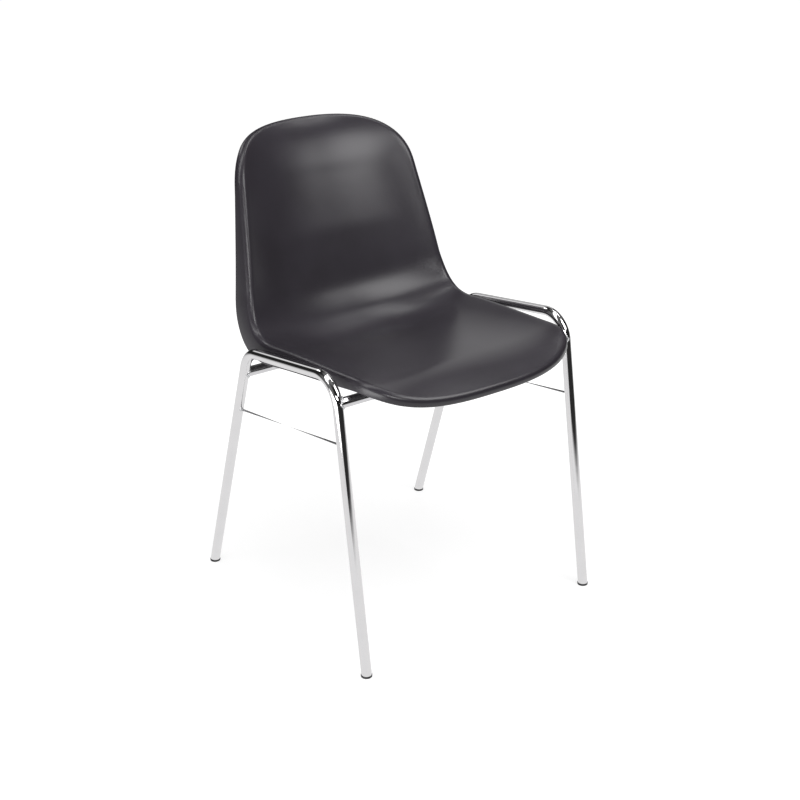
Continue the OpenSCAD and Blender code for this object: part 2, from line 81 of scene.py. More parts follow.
camera_data = bpy.data.cameras.new("photo_camera")
camera_data.sensor_width = 36
camera_data.lens = 63.17
camera = bpy.data.objects.new("photo_camera", camera_data)
camera.matrix_world = Matrix.Translation(camera_place) @ Matrix((right, up, -forward)).transposed().to_4x4()
bpy.context.scene.collection.objects.link(camera)
bpy.context.scene.camera = camera
bpy.context.scene.view_settings.view_transform = "Standard"
print("camera", round(camera_place.length, 3), "m from the point on the floor under the chair")

# %% [markdown]
# ## How a material is put together
# Every finish here is a small net of nodes. Colours are written as the hex values that a picture
# editor shows, and one function turns them into the linear values that the shader wants.
# One function adds a node, sets it and links it, so that each material reads as a short list.

# %% Node and colour helpers
def linear(hex_colour):
    """Linear red, green, blue and alpha of an sRGB hex colour."""
    parts = [int(hex_colour[n:n + 2], 16) / 255 for n in (1, 3, 5)]
    return [p / 12.92 if p <= 0.04045 else ((p + 0.055) / 1.055) ** 2.4 for p in parts] + [1.0]


def add(tree, kind, inputs, **settings):
    """Adds a node: settings are its own properties, and inputs are values or other nodes' sockets."""
    node = tree.nodes.new(kind)
    for name, value in settings.items():
        setattr(node, name, value)
    for name, value in inputs.items():
        if isinstance(value, bpy.types.NodeSocket):
            tree.links.new(value, node.inputs[name])
        else:
            node.inputs[name].default_value = value
    return node


def new_material(name):
    """An empty material, its node tree, and the coordinates in metres that all patterns use."""
    material = bpy.data.materials.new(name)
    material.use_nodes = True
    material.node_tree.nodes.clear()
    place = add(material.node_tree, "ShaderNodeTexCoord", {}).outputs["Object"]
    return material, material.node_tree, place


print("a grey of #808080 is", round(linear("#808080")[0], 3), "in linear light")

# %% [markdown]
# ## What all the chair's surfaces share
# No real surface has one colour and one gloss all over. Each finish below lets its colour, its gloss
# and its fine bumps follow a noise of a real width, by amounts that are felt rather than seen. The net
# for that is always the same, so one function builds it and the materials only say what differs.

# %% Colour, gloss and bumps that follow a noise
def patterned_surface(tree, colour_noise, gloss_noise, bump_noise, colours, roughness, bump, **settings):
    """Closes a material: colours by level, lowest and highest roughness, strength and depth of bumps."""
    colour = add(tree, "ShaderNodeValToRGB", {"Fac": colour_noise.outputs["Fac"]})
    for element, (level, hex_colour) in zip(colour.color_ramp.elements, colours.items()):
        element.position = level
        element.color = linear(hex_colour)
    gloss = add(tree, "ShaderNodeMapRange", {
        "Value": gloss_noise.outputs["Fac"], "To Min": roughness[0], "To Max": roughness[1]})
    relief = add(tree, "ShaderNodeBump", {
        "Height": bump_noise.outputs["Fac"], "Strength": bump[0], "Distance": bump[1]})
    shader = add(tree, "ShaderNodeBsdfPrincipled", {
        "Base Color": colour.outputs["Color"], "Roughness": gloss.outputs["Result"],
        "Normal": relief.outputs["Normal"], **settings})
    add(tree, "ShaderNodeOutputMaterial", {"Surface": shader.outputs[0]})
    print("roughness", [round(r, 3) for r in roughness], "and bumps", round(bump[1] * 1000, 2), "mm deep")


# %% [markdown]
# ## Polypropylene, injection moulded in a grained tool
# The shell is polypropylene, coloured in the mass. Its tool is spark eroded to a fine grain, so the
# surface is satin: it spreads a lamp into a broad soft patch and hides fingermarks.
# The real grain is about 0.3 mm wide, less than a pixel of the picture. It is drawn at 2.2 mm, just
# coarse enough to break up the highlights. A second, slow noise is the flow of the melt: a small
# change of colour and gloss.
# The roughness stays above 0.274. The renderer's noise filter takes anything smoother for a mirror,
# and where the gloss crosses that value it leaves faint islands on the shell.

# %% Polypropylene
grain_width = 0.0022
grain_bump = [0.25, 0.0004]
flow_width = 0.09
shell_colours = {0.15: "#2c292e", 0.85: "#353238"}
shell_roughness = [0.276, 0.296]
polypropylene_ior = 1.49
polypropylene, tree, place = new_material("polypropylene_moulded_fine_grain")
grain = add(tree, "ShaderNodeTexNoise", {"Vector": place, "Scale": 1 / grain_width, "Detail": 2.0})
flow = add(tree, "ShaderNodeTexNoise", {"Vector": place, "Scale": 1 / flow_width, "Detail": 3.0})
patterned_surface(tree, colour_noise=flow, gloss_noise=flow, bump_noise=grain, colours=shell_colours,
                  roughness=shell_roughness, bump=grain_bump, IOR=polypropylene_ior)
print("polypropylene, grain drawn", grain_width * 1000, "mm wide")

# %% [markdown]
# ## Bright chrome on steel tube
# The tubes are cold drawn steel, bent, welded, polished and then plated with nickel and a thin coat
# of chromium. Chrome is a mirror a shade cooler than silver. Polishing leaves the tube very slightly
# uneven, so the reflected lines wander a little, and that is what tells the eye it is a real tube.
# The welds are plated over but not polished, so they get the same metal with a rougher skin. So are
# the thin rods, bright drawn wire that looks grey beside the tube.

# %% Chrome plate
fine_per_slow = 14
chrome_spread = [0.7, 1.3]


def chrome(name, colours, roughness, unevenness, uneven_width):
    """Chrome plate over steel: a metal with faint colour and gloss changes and an uneven skin."""
    material, tree, place = new_material(name)
    slow = add(tree, "ShaderNodeTexNoise", {"Vector": place, "Scale": 1 / uneven_width, "Detail": 2.0})
    fine = add(tree, "ShaderNodeTexNoise", {
        "Vector": place, "Scale": fine_per_slow / uneven_width, "Detail": 4.0})
    patterned_surface(tree, colour_noise=slow, gloss_noise=fine, bump_noise=slow,
                      colours={0.0: colours[0], 1.0: colours[1]},
                      roughness=[roughness * share for share in chrome_spread],
                      bump=[1.0, unevenness], Metallic=1.0)
    print(name, colours)
    return material


tube_chrome = chrome("chrome_plate_on_polished_steel_tube", ["#dbdadb", "#e3e2e3"], 0.06, 0.00005, 0.03)
bar_chrome = chrome("chrome_plate_on_drawn_steel_tube", ["#d0cfd1", "#dad9db"], 0.1, 0.00006, 0.02)
wire_chrome = chrome("chrome_plate_on_drawn_steel_wire", ["#88888a", "#98989a"], 0.22, 0.00003, 0.012)
weld_chrome = chrome("chrome_plate_on_raw_weld", ["#c4c5c7", "#d4d4d5"], 0.2, 0.0002, 0.004)

# %% [markdown]
# ## The small fittings
# Glides and washers are moulded nylon, dense black with a slight gloss. The screws are zinc plated,
# a paler and duller metal than chrome with a faint crystalline mottle, and the threaded inserts are
# turned brass. They hardly show, but a reader who looks under the seat should find them finished.

# %% Nylon, zinc and brass
fitting_spread = [0.8, 1.2]
mottle_strength = 0.3
mottle_width_per_depth = 10
nylon_ior = 1.53


def fitting(name, colours, roughness, mottle_width, **settings):
    """A small part's finish: two close colours and two close glosses, mixed by one noise."""
    material, tree, place = new_material(name)
    mottle = add(tree, "ShaderNodeTexNoise", {"Vector": place, "Scale": 1 / mottle_width, "Detail": 3.0})
    patterned_surface(tree, colour_noise=mottle, gloss_noise=mottle, bump_noise=mottle,
                      colours={0.0: colours[0], 1.0: colours[1]},
                      roughness=[roughness * share for share in fitting_spread],
                      bump=[mottle_strength, mottle_width / mottle_width_per_depth], **settings)
    print(name, colours)
    return material


glide_nylon = fitting("nylon_moulded_black", ["#151517", "#1f1f21"], 0.42, 0.0015, IOR=nylon_ior)
washer_nylon = fitting("nylon_moulded_washer", ["#1b1b1d", "#262628"], 0.5, 0.0015, IOR=nylon_ior)
screw_zinc = fitting("zinc_plate_on_steel_screw", ["#a9acb0", "#c4c6c9"], 0.3, 0.001, Metallic=1.0)
insert_brass = fitting("brass_turned_insert", ["#b8924a", "#cfa95c"], 0.28, 0.001, Metallic=1.0)

# %% [markdown]
# ## Turning rows of points into pieces
# Tubes, beads and the shell are all rows of points with faces between them. One function skins such
# rows: it joins every row to the next, and either closes the last row on the first, as in a ring or
# a hollow tube, or caps both ends. Another makes the finished mesh an object that rides on the chair.
# Faces are shaded smooth, and only an edge with a sharp bend stays a visible edge.

# %% Rows to faces
def skin_rows(rows, closed):
    """Points and faces over rows of points, each row a ring."""
    count, sides = rows.shape[:2]
    faces = []
    for r in range(count if closed else count - 1):
        low = r * sides
        high = (r + 1) % count * sides
        for k in range(sides):
            turn = (k + 1) % sides
            faces.append((low + k, low + turn, high + turn, high + k))
    if not closed:
        faces.append(tuple(range(sides)))
        faces.append(tuple(range((count - 1) * sides, count * sides)))
    return rows.reshape(-1, 3), faces


def join_parts(parts):
    """Several lots of points and faces as one."""
    points = []
    faces = []
    for some_points, some_faces in parts:
        faces += [tuple(i + len(points) for i in face) for face in some_faces]
        points += [tuple(p) for p in some_points]
    return points, faces


print("three closed rows of four points:", len(skin_rows(np.zeros((3, 4, 3)), closed=True)[1]), "faces")

# %% Faces to pieces
crease = math.radians(40)


def make_piece(name, parts, material, nodes):
    """A smooth mesh piece on the chair's one body, which stands for the CAD nodes."""
    points, faces = join_parts(parts)
    mesh = bpy.data.meshes.new(name)
    mesh.from_pydata(points, [], faces)
    shape = bmesh.new()
    shape.from_mesh(mesh)
    bmesh.ops.recalc_face_normals(shape, faces=shape.faces)
    for face in shape.faces:
        face.smooth = True
    shape.to_mesh(mesh)
    shape.free()
    mesh.set_sharp_from_angle(angle=crease)
    mesh.materials.append(material)
    piece = bpy.data.objects.new(name, mesh)
    bpy.context.scene.collection.objects.link(piece)
    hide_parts(*nodes)
    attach(piece, "root")
    print(name, len(mesh.vertices), "points,", len(mesh.polygons), "faces")


print("edges stay sharp from", round(math.degrees(crease)), "degrees on")

# %% [markdown]
# ## The shell's middle line
# Seen from the side, a shell chair is one line: down-turned lip, nearly flat seat, bend, straight
# back and a top that curls away. Its direction changes steadily along each stretch, so a list of
# places and directions is enough, and adding up small steps gives the line.
# A real mould's curvature never jumps. So the direction is averaged over a short window, and the
# highlights flow through the joins instead of breaking there.

# %% Stretches of the middle line
seat_height = 0.4945
lip_radius = 0.150
lip_angle = math.radians(29)
seat_pitch = math.radians(7.5)
seat_length = 0.234
bend_radius = 0.115
recline = math.radians(12)
back_length = 0.174
top_radius = 0.200
top_curl = math.radians(33)

back_slope = math.pi / 2 - recline
stretch_lengths = [lip_radius * (lip_angle + seat_pitch), seat_length,
                   bend_radius * (seat_pitch + back_slope), back_length, top_radius * top_curl]
stretch_ends = np.cumsum([0.0] + stretch_lengths)
directions = [lip_angle, -seat_pitch, -seat_pitch, back_slope, back_slope, back_slope - top_curl]
top_end = stretch_ends[-1]
bend_end = stretch_ends[3]
print("stretches end at", stretch_ends.round(4), "m along the line")

# %% Middle line of the shell
blend_length = 0.045
line_step = 0.0005
line_s = np.arange(-blend_length, top_end + blend_length, line_step)


def add_up(direction):
    """Line of y and z that has this direction, starting at the front edge of the shell."""
    y = np.cumsum(np.cos(direction)) * line_step
    z = np.cumsum(np.sin(direction)) * line_step
    return y - np.interp(0, line_s, y), z - np.interp(0, line_s, z)


def directed(s):
    """Direction at s; past both ends the line goes on turning as it did."""
    inside = np.interp(s, stretch_ends, directions)
    return inside - np.minimum(s, 0) / lip_radius - np.maximum(s - top_end, 0) / top_radius


window = np.hanning(int(blend_length / line_step) + 2)[1:-1]
sharp = directed(line_s)
line_direction = np.convolve(np.pad(sharp, len(window) // 2, mode="reflect", reflect_type="odd"),
                             window / window.sum(), mode="valid")[:len(line_s)]
sharp_y, sharp_z = add_up(sharp)
soft_y, soft_z = add_up(line_direction)
share_along = np.clip(line_s / top_end, 0, 1)
line_y = soft_y + share_along * (np.interp(top_end, line_s, sharp_y) - np.interp(top_end, line_s, soft_y))
line_z = soft_z + share_along * (np.interp(top_end, line_s, sharp_z) - np.interp(top_end, line_s, soft_z))
print("middle line", round(top_end, 4), "m long, softened by at most",
      round(float(np.abs(line_z - sharp_z).max()) * 1000, 2), "mm")

# %% [markdown]
# ## Width and dish
# The shell is widest at the hips and narrows to both ends, and its sides rise above the middle, most
# at the lower back where it holds the sitter. Both are given as curves along the middle line. The
# rise spreads across as a power of the distance from the middle: a high power keeps the seat flat
# and turns it up near the edge, and a lower one makes the back a round bowl.

# %% Width and rise
front_width = 0.401
hip_width = 0.427
top_width = 0.323
hip_place = 0.390
hip_blend = 0.030
rise_places = [0.0, 0.375, 0.485, top_end]
rises = [0.011, 0.034, 0.0445, 0.0275]
flatness_places = [0.060, 0.460]
flatnesses = [5.0, 2.4]


def eased(s, places, values):
    """Values at places, with an even S-shaped change from each to the next."""
    s = np.asarray(s, float)
    result = np.full(s.shape, float(values[0]))
    for n in range(len(places) - 1):
        t = np.clip((s - places[n]) / (places[n + 1] - places[n]), 0, 1)
        result = result + (values[n + 1] - values[n]) * t * t * (3 - 2 * t)
    return result


def half_width(s):
    below = (hip_width - front_width) / 2 / hip_place
    above = (top_width - hip_width) / 2 / (top_end - hip_place)
    d = s - hip_place
    soft_d = np.hypot(d, hip_blend) - hip_blend
    return hip_width / 2 + (below + above) / 2 * d + (above - below) / 2 * soft_d


print("half width", [round(float(half_width(s)), 4) for s in (0, hip_place, top_end)], "m")

# %% [markdown]
# ## Swell of the back
# A back that carries a sitter isn't quite straight from bend to top either. It swells a few
# millimetres forward at the loins and draws back behind the shoulder blades. The swell fades out
# towards the sides, where the rim runs straight. It is what breaks a lamp's reflection into the
# bright patch above and the dark field below.

# %% Swell and dish
swell_places = [0.27, 0.42, 0.50, 0.58, 0.685, 0.77]
swells = [0.0, -0.0030, 0.0040, 0.0040, -0.0043, -0.0003]
swell_reach_share = 0.97
swell_squareness = 4

sharp_swell = np.interp(line_s, swell_places, swells)
swell_line = np.convolve(np.pad(sharp_swell, len(window) // 2, mode="edge"),
                         window / window.sum(), mode="valid")[:len(line_s)]


def dish(x, s):
    """Rise of the surface over its middle line: the raised sides and the swell of the back."""
    share = np.abs(x) / half_width(s)
    fade = (1 - np.minimum(share / swell_reach_share, 1) ** swell_squareness) ** 2
    return (eased(s, rise_places, rises) * share ** eased(s, flatness_places, flatnesses)
            + np.interp(s, line_s, swell_line) * fade)


print("swell from", round(swell_line.min() * 1000, 1), "to", round(swell_line.max() * 1000, 1), "mm")

# %% [markdown]
# ## The upper surface
# Middle line and dish together place any point of the upper surface, from its distance x across and
# its length s along the line. A subdivided cage could be pulled into this shape too, but a formula
# gives the same skin at any fineness, and the rim and the bosses can ask where it is.
# Two short steps on the surface and their cross product give its normal, which the wall needs.

# %% Upper surface
rim_radius = 0.010
front_overhang = rim_radius * (1 - math.sin(lip_angle))
shell_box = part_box("shell")
start_y = shell_box[0].y + front_overhang
start_z = seat_height - lip_radius * (1 - math.cos(lip_angle))


def skin(x, s):
    """Points of the upper surface, x across and s along the middle line."""
    lean = np.interp(s, line_s, line_direction)
    rise = dish(x, s)
    y = start_y + np.interp(s, line_s, line_y) - rise * np.sin(lean)
    z = start_z + np.interp(s, line_s, line_z) + rise * np.cos(lean)
    return np.stack([x, y, z], axis=-1)


slope_step = 0.0005


def skin_normal(x, s):
    a = skin(x + slope_step, s) - skin(x - slope_step, s)
    b = skin(x, s + slope_step) - skin(x, s - slope_step)
    n = np.cross(a, b)
    return n / np.linalg.norm(n, axis=-1, keepdims=True)


middle = skin(np.array([0.0]), np.array([top_end]))[0]
print("front edge at y", round(start_y, 4), "and top of the middle line at", middle.round(4))

# %% [markdown]
# ## Outline and grid
# The corners are quarters of a superellipse, squarer than an ellipse. A grid is blended between the
# four edges so that its lines run with the outline everywhere, with rows closer together at the
# ends. Quads that follow the form are what keeps a satin surface free of dents.

# %% Outline
front_corner = 0.101
front_squareness = 2.7
top_corner = 0.112
top_squareness = 2.3
crowding_share = 0.3


def quarter(share, power):
    return (1 - np.minimum(np.abs(share), 1) ** power) ** (1 / power)


front_share = 0.5 ** (1 / front_squareness)
top_share = 0.5 ** (1 / top_squareness)


def front_edge(u):
    s = front_corner * (1 - quarter(u * front_share, front_squareness))
    return half_width(s) * u * front_share, s


def top_edge(u):
    s = top_end - top_corner * (1 - quarter(u * top_share, top_squareness))
    return half_width(s) * u * top_share, s


def side_edge(v):
    start = front_corner * (1 - quarter(front_share, front_squareness))
    end = top_end - top_corner * (1 - quarter(top_share, top_squareness))
    s = start + (end - start) * (v - crowding_share * np.sin(2 * np.pi * v) / (2 * np.pi))
    from_front = quarter(np.maximum(front_corner - s, 0) / front_corner, front_squareness)
    from_top = quarter(np.maximum(s - top_end + top_corner, 0) / top_corner, top_squareness)
    return half_width(s) * from_front * from_top, s


print("half width half way along", round(float(side_edge(0.5)[0]), 4), "m")

# %% Grid over the outline
across = 56
along = 150
u, v = np.meshgrid(np.linspace(-1, 1, across + 1), np.linspace(0, 1, along + 1))
front_x, front_s = front_edge(u)
top_x, top_s = top_edge(u)
side_x, side_s = side_edge(v)
corner_x = (1 - v) * front_edge(1.0)[0] + v * top_edge(1.0)[0]
corner_s = (1 - v) * front_edge(1.0)[1] + v * top_edge(1.0)[1]
grid_x = (1 - v) * front_x + v * top_x + u * (side_x - corner_x)
grid_s = (1 - v) * front_s + v * top_s + side_s - corner_s

loop = ([(0, i) for i in range(across)] + [(j, across) for j in range(along)]
        + [(along, i) for i in range(across, 0, -1)] + [(j, 0) for j in range(along, 0, -1)])
loop_rows = np.array([j for j, i in loop])
loop_columns = np.array([i for j, i in loop])
print("grid", grid_x.shape, "and", len(loop), "points round its edge")

# %% [markdown]
# ## Rolled rim and flange
# The edge of such a shell is rolled down through a round rim into a flange, which makes a thin sheet
# stiff. The flange is deepest beside the bend, where the load is, and shallow at the front and top.
# The rim's rows start at the slope that the surface has at the edge, so there is no crease, and the
# moulding's free edge is rounded a little, as the tool's parting face leaves it.

# %% Directions round the edge
edge_x = grid_x[loop_rows, loop_columns]
edge_s = grid_s[loop_rows, loop_columns]
way_x = np.roll(edge_x, -1) - np.roll(edge_x, 1)
way_s = np.roll(edge_s, -1) - np.roll(edge_s, 1)
way = np.hypot(way_x, way_s)
out_x = way_s / way
out_s = -way_x / way
edge_lean = np.interp(edge_s, line_s, line_direction)
edge_slope = np.arctan((dish(edge_x + slope_step * out_x, edge_s + slope_step * out_s)
                        - dish(edge_x - slope_step * out_x, edge_s - slope_step * out_s)) / (2 * slope_step))
edge_points = skin(edge_x, edge_s)
edge_out = np.stack([out_x, out_s * np.cos(edge_lean), out_s * np.sin(edge_lean)], axis=-1)
edge_up = np.stack([0 * edge_lean, -np.sin(edge_lean), np.cos(edge_lean)], axis=-1)
print("edge slopes up by at most", round(math.degrees(edge_slope.max()), 1), "degrees")

# %% Rim and flange
shell_wall = 0.0045
front_flange = 0.0055
deep_flange = 0.0315
top_flange = 0.003
deep_flange_place = 0.450
top_flange_run = 0.060
flange_soft_share = 0.1
flange_flare = math.radians(10)
free_edge_radius = 0.0012
rim_steps = 8
edge_steps = 3


def flange_height(s):
    """Straight height of the flange: deepest beside the bend and falling off evenly to both ends."""
    below = s < deep_flange_place
    ends = np.where(below, front_flange, top_flange)
    reach = np.where(below, deep_flange_place, top_end - top_flange_run - deep_flange_place)
    t = np.hypot((s - deep_flange_place) / reach, flange_soft_share) - flange_soft_share
    t_at_end = math.hypot(1, flange_soft_share) - flange_soft_share
    return ends + (deep_flange - ends) * np.maximum(0, 1 - t / t_at_end)


def rim_row(depth, share, height):
    """Row of the rim: depth into the wall, share of the roll, and height down the flange."""
    turned = edge_slope + (flange_flare - math.pi / 2 - edge_slope) * share
    aside = (rim_radius * np.sin(edge_slope) - (rim_radius - depth) * np.sin(turned)
             + height * math.sin(flange_flare))
    rise = ((rim_radius - depth) * np.cos(turned) - rim_radius * np.cos(edge_slope)
            - height * math.cos(flange_flare))
    return edge_points + aside[:, None] * edge_out + rise[:, None] * edge_up


heights = flange_height(edge_s)
edge_turns = np.linspace(0, math.pi / 2, edge_steps + 1)
rim_rows = [rim_row(0, n / rim_steps, 0) for n in range(1, rim_steps + 1)]
for turn in edge_turns:
    rim_rows.append(rim_row(free_edge_radius * (1 - math.cos(turn)), 1,
                            heights - free_edge_radius * (1 - math.sin(turn))))
for turn in edge_turns:
    rim_rows.append(rim_row(shell_wall - free_edge_radius * (1 - math.sin(turn)), 1,
                            heights - free_edge_radius * (1 - math.cos(turn))))
rim_rows += [rim_row(shell_wall, n / rim_steps, 0) for n in range(rim_steps, 0, -1)]
print("flange", round(heights.min() * 1000, 1), "to", round(heights.max() * 1000, 1), "mm high")

# %% [markdown]
# ## One closed skin
# The moulded sheet has a thickness, so its mesh is a closed skin. The lower grid is the upper one
# moved in by the wall's thickness, and the rim's rows lie between them and share their edge points. A
# Solidify modifier would give the thickness as well, but not the rolled rim.

# %% Shell mesh
upper = skin(grid_x, grid_s)
lower = upper - shell_wall * skin_normal(grid_x, grid_s)
lower[loop_rows, loop_columns] = rim_row(shell_wall, 0, 0)


def shell_part():
    """Points and faces of the shell: upper grid, lower grid and the rim's rows between them."""
    points = np.concatenate([upper.reshape(-1, 3), lower.reshape(-1, 3)] + rim_rows)
    size = upper.shape[0] * upper.shape[1]
    width = across + 1
    round_edge = len(loop)
    faces = []
    for j in range(along):
        for i in range(across):
            a = j * width + i
            faces.append((a, a + 1, a + width + 1, a + width))
            faces.append((a + size, a + size + width, a + size + width + 1, a + size + 1))
    rings = [[j * width + i for j, i in loop]]
    for n in range(len(rim_rows)):
        first = 2 * size + n * round_edge
        rings.append(list(range(first, first + round_edge)))
    rings.append([size + j * width + i for j, i in loop])
    for ring, next_ring in zip(rings, rings[1:]):
        for k in range(round_edge):
            turn = (k + 1) % round_edge
            faces.append((ring[k], next_ring[k], next_ring[turn], ring[turn]))
    return points, faces


print("shell wall", shell_wall * 1000, "mm thick with", len(rim_rows), "rows round its rim")

# %% [markdown]
# ## Bosses under the seat
# The shell stands on four bosses, moulded in one with it, that straddle the cross tubes. Each holds a
# threaded insert. A boss flares where it joins the wall, so that the plastic flows and nothing
# cracks, and its foot is hollowed to the tube. Cylinders cut with a Boolean would leave hard seams
# there. So it is made as rings, each point of which knows the height of the wall above it and of the
# tube below it. The first two rings lie inside the wall.

# %% Cross tubes below and shell above
def centre(node):
    low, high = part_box(node)
    return (low + high) / 2


bar_names = ["front", "rear"]
side_signs = {"left": -1, "right": 1}
bar_d = 0.018
bars = {name: centre(name + "_crossbar") for name in bar_names}
halvings = 30


def place_under(x, y):
    """Length along the middle line at which the surface has this x and y."""
    low = np.zeros(np.shape(x))
    high = np.full(np.shape(x), bend_end)
    for _ in range(halvings):
        half = (low + high) / 2
        before = skin(x, half)[..., 1] < y
        low = np.where(before, half, low)
        high = np.where(before, high, half)
    return low


wall_place = float(place_under(0.0, bars["front"].y))
print("front cross tube at y", round(bars["front"].y, 4), "is", round(wall_place, 4), "m along the line")

# %% Bosses
boss_spacing = 0.200
boss_r = 0.010
boss_saddle = 0.003
seat_fit = 0.0002
boss_flare = 0.0025
flare_shares = [0.15, 0.4, 0.7, 1.0]
skirt_share = 0.9
core_r = 0.001
core_share = 0.5
pocket_r = 0.0036
pocket_depth = 0.0087
round_sides = 48


def boss_part(x, bar):
    """Points and faces of one boss over a cross tube."""
    turn = np.linspace(0, 2 * np.pi, round_sides, endpoint=False)
    tube_top = bar_d / 2 + seat_fit

    def ring(radius, wall_share=None, below_wall=0.0):
        ring_x = x + radius * np.cos(turn)
        ring_y = bar.y + radius * np.sin(turn)
        if wall_share is None:
            saddle = np.sqrt(np.maximum(tube_top ** 2 - (ring_y - bar.y) ** 2, 0))
            ring_z = bar.z + np.maximum(bar_d / 2 - boss_saddle, saddle)
        else:
            s = place_under(ring_x, ring_y)
            lift = shell_wall * wall_share / skin_normal(ring_x, s)[:, 2]
            ring_z = skin(ring_x, s)[:, 2] - lift - below_wall
        return np.stack([ring_x, ring_y, ring_z], axis=-1)

    rows = [ring(core_r, core_share), ring(boss_r + boss_flare, skirt_share)]
    for share in flare_shares:
        angle = share * math.pi / 2
        radius = boss_r + boss_flare * (1 - math.sin(angle))
        rows.append(ring(radius, 1.0, boss_flare * (1 - math.cos(angle))))
    rows.append(ring(boss_r))
    rows.append(ring((boss_r + pocket_r) / 2))
    rows.append(ring(pocket_r))
    pocket = ring(pocket_r)
    pocket[:, 2] = bar.z + tube_top + pocket_depth
    rows.append(pocket)
    return skin_rows(np.array(rows), closed=False)


boss_parts = [boss_part(sign * boss_spacing / 2, bars[name]) for name in bar_names for sign in (-1, 1)]
make_piece("moulded_shell", [shell_part()] + boss_parts, polypropylene, ["shell"])

# %% [markdown]
# ## The side tubes
# Each side of the frame is one length of tube, bent twice on a mandrel into an upside-down U. Its
# plane leans in a hair towards the top. Its axis comes first: straight, round a bend of constant
# radius, straight, round the other bend, and down to the other foot.

# %% Feet and corners of the side tubes
bar_drop = 0.043
foot_flare = 0.003
glide_height = 0.004

rail_top = bars["front"].z + bar_drop
side_lean = math.atan(foot_flare / rail_top)
foot_x = centre("front_right_glide").x + glide_height * math.tan(side_lean)


def leg_x(z):
    return foot_x - z * math.tan(side_lean)


def in_plane(y, z):
    """Place in a side tube's leaning plane: y, and height along the plane."""
    return np.array([y, z / math.cos(side_lean)])


def leg_at(name, z):
    """Where a leg's axis is at height z: it passes its cross tube's axis and the middle of its glide."""
    foot = centre(name + "_right_glide")
    bar = bars[name]
    slope = (bar.y - foot.y) / (bar.z - glide_height)
    return in_plane(foot.y + (z - glide_height) * slope, z)


feet = [leg_at(name, glide_height) for name in bar_names]
corners = [leg_at(name, bars[name].z + bar_drop) for name in bar_names]
print("feet at y", [round(foot[0], 4) for foot in feet])
print("sides lean", round(math.degrees(side_lean), 2), "degrees")

# %% Axis of the side tubes
tube_bend = 0.050
ring_spacing = 0.025
bend_rings = 24


def direction(a, b):
    return (b - a) / np.linalg.norm(b - a)


def rounded(a, corner, b, radius, count):
    """Arc of points that rounds the corner between a and b."""
    into = direction(a, corner)
    away = direction(corner, b)
    turn = math.acos(float(into @ away))
    start = corner - into * radius * math.tan(turn / 2)
    inward = direction(np.zeros(2), away - into * float(into @ away))
    angles = np.linspace(0, turn, count + 1)
    return [start + radius * (math.sin(t) * into + (1 - math.cos(t)) * inward) for t in angles]


def straight(a, b):
    """Points from a to b without the ends."""
    count = max(2, int(np.linalg.norm(b - a) / ring_spacing))
    return [a + (b - a) * n / count for n in range(1, count)]


front_bend = rounded(feet[0], corners[0], corners[1], tube_bend, bend_rings)
rear_bend = rounded(corners[0], corners[1], feet[1], tube_bend, bend_rings)
axis_line = np.array([feet[0]] + straight(feet[0], front_bend[0]) + front_bend
                     + straight(front_bend[-1], rear_bend[0]) + rear_bend
                     + straight(rear_bend[-1], feet[1]) + [feet[1]])
axis_steps = np.linalg.norm(np.diff(axis_line, axis=0), axis=1)
print("side tube", round(float(axis_steps.sum()), 3), "m along its axis")

# %% [markdown]
# ## Sweeping the side tubes
# A ring of points is swept along that axis and kept square to it, and an inner ring goes back the
# same way, because a tube is hollow and its wall shows at its ends. A curve with a bevel would be less
# work, but it ends square to the leg. Here each point of the last ring slides along the tube until it
# is as high as the top of the glide's head, so the foot is cut level as on the real chair.

# %% Sweep the side tubes
tube_d = 0.018
tube_wall = 0.0015


def from_plane(side, y, height, aside):
    """Points of the room from places in a side tube's plane and distances out of it."""
    x = foot_x + aside * math.cos(side_lean) - height * math.sin(side_lean)
    z = aside * math.sin(side_lean) + height * math.cos(side_lean)
    return np.stack([side * x, y + 0 * x, z], axis=-1)


def sweep(side, line, radius, sides):
    """Rings of points round a line in a side tube's plane."""
    way = np.gradient(line, axis=0)
    way = way / np.linalg.norm(way, axis=1, keepdims=True)
    turn = np.linspace(0, 2 * np.pi, sides, endpoint=False)
    rows = []
    for p, w in zip(line, way):
        y = p[0] - w[1] * radius * np.sin(turn)
        height = p[1] + w[0] * radius * np.sin(turn)
        rows.append(from_plane(side, y, height, radius * np.cos(turn)))
    return np.array(rows)


def side_tube_part(side):
    outer = sweep(side, axis_line, tube_d / 2, round_sides)
    inner = sweep(side, axis_line, tube_d / 2 - tube_wall, round_sides)
    for rows in (outer, inner):
        for end, near in ((0, 1), (-1, -2)):
            way = rows[end] - rows[near]
            rows[end] = rows[near] + way * ((glide_height - rows[near][:, 2]) / way[:, 2])[:, None]
    return skin_rows(np.concatenate([outer, inner[::-1]]), closed=True)


for name, side in side_signs.items():
    make_piece(name + "_side_tube", [side_tube_part(side)], tube_chrome, [name + "_side_frame"])

# %% [markdown]
# ## The cross tubes and their welds
# Two straight tubes join the sides under the seat. Their ends are coped: cut to a saddle that fits
# the leg. A Boolean would cut it with ragged faces, so the place of each point of the end is worked
# out on the leg's surface. The weld is a bead run round that saddle in short overlapping steps, which
# leaves the fish-scale ripple of a hand weld, and the same sum gives the line that it follows.

# %% Where a cross tube meets the leg
least_depth = 0.0015


def leg_lean(name):
    way = corners[bar_names.index(name)] - feet[bar_names.index(name)]
    return math.atan2(way[0], way[1])


def axis_shift(name, above):
    """How far the side tube's axis has turned off towards the rail at a distance above the cross tube."""
    lean = leg_lean(name)
    turn = math.pi / 2 - abs(lean - math.atan2(*(corners[1] - corners[0])[::-1]))
    bend_start = bar_drop / math.cos(lean) - tube_bend * math.tan(turn / 2)
    into_bend = np.maximum(0, above - bend_start)
    return (1 if name == "front" else -1) * (tube_bend - np.sqrt(tube_bend ** 2 - into_bend ** 2))


